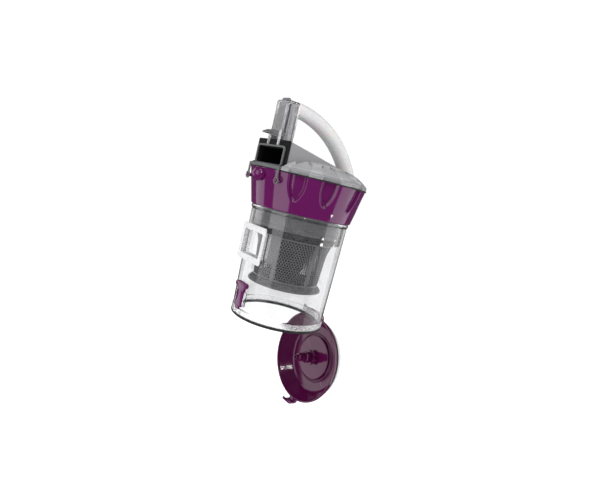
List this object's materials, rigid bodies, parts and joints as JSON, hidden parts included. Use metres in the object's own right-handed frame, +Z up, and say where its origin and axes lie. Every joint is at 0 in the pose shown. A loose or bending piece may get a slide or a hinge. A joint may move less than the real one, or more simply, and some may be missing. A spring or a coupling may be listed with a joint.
{
  "type": "vacuum cleaner dust canister",
  "caption": "Dust canister of a bagless cyclone vacuum: clear bin with side inlet, flared purple collar, arched handle with latch, and a hinged base lid hanging open.",
  "frame": {"origin": "middle of the handle's grip, where a hand holds the canister up; the bin's rim, where the base lid seals, lies 293 mm below it and 5 mm behind it", "axes": "+Z up the bin's axis, -Y towards the front with the inlet and the outlet, +X to the canister's left as seen from the front, completing a right-handed frame"},
  "size_m": [0.174, 0.2049, 0.4603],
  "materials": {
    "purple_abs": "high-gloss moulded",
    "aubergine_abs": "high-gloss moulded",
    "clear_plastic": "clear moulded styrene",
    "milky_plastic": "milky translucent satin",
    "silver_plastic": "satin silver-grey",
    "duct_plastic": "satin mid-grey",
    "grey_plastic": "satin mid-grey",
    "dark_plastic": "satin dark grey",
    "black_plastic": "semi-gloss black",
    "grey_rubber": "matt grey elastomer",
    "black_rubber": "matt black elastomer",
    "pale_rubber": "matt pale grey elastomer",
    "foam": "open-cell filter foam",
    "steel": "bright drawn steel"
  },
  "bodies": {
    "upper": {"collar": "purple_abs", "lid_gasket": "black_rubber", "top_lid": "silver_plastic", "exhaust_duct": "duct_plastic", "port_housing": "black_plastic", "port_gasket": "grey_rubber", "handle_arch": "milky_plastic", "handle_column": "clear_plastic", "column_core": "grey_plastic", "latch_spring": "steel", "shroud_ring": "grey_plastic", "shroud_lip_seal": "black_rubber", "shroud_screen": "grey_plastic", "shroud_skirt": "grey_plastic", "cyclone_cone": "dark_plastic", "vortex_finder": "dark_plastic", "filter_frame": "silver_plastic", "filter_foam": "foam", "frame_screw_1": "steel", "frame_screw_2": "steel", "frame_screw_3": "steel", "frame_screw_4": "steel"},
    "release_latch": {"release_button": "dark_plastic", "push_rod": "dark_plastic", "dock_latch": "dark_plastic"},
    "bin": {"bin_shell": "clear_plastic", "inlet_frame": "clear_plastic", "inlet_duct": "clear_plastic", "base_seal": "black_rubber", "bin_top_seal": "black_rubber", "lid_hinge_pin": "steel", "lever_spring": "steel"},
    "lid_lever": {"release_lever": "purple_abs"},
    "base_lid_swing": {"base_lid": "aubergine_abs", "vortex_post": "aubergine_abs", "lid_catch": "purple_abs", "foot_ring": "pale_rubber"}
  },
  "joints": [
    {"name": "bin_twist", "type": "hinge", "parent": "upper", "child": "bin", "pos_m": [0, 0.005, -0.13], "axis": [0, 0, 1], "range_deg": [-18, 0]},
    {"name": "base_lid_hinge", "type": "hinge", "parent": "bin", "child": "base_lid_swing", "pos_m": [0, 0.08, -0.287], "axis": [1, 0, 0], "range_deg": [-86.4, 22]},
    {"name": "lid_lever_slide", "type": "slide", "parent": "bin", "child": "lid_lever", "axis": [0, 0, -1], "range_m": [0, 0.003], "stiffness_N_per_m": 400, "springref_m": -0.003, "deforming": ["lever_spring"]},
    {"name": "latch_press", "type": "slide", "parent": "upper", "child": "release_latch", "axis": [0, 0, -1], "range_m": [0, 0.0025], "stiffness_N_per_m": 600, "springref_m": -0.003, "deforming": ["latch_spring"]}
  ]
}
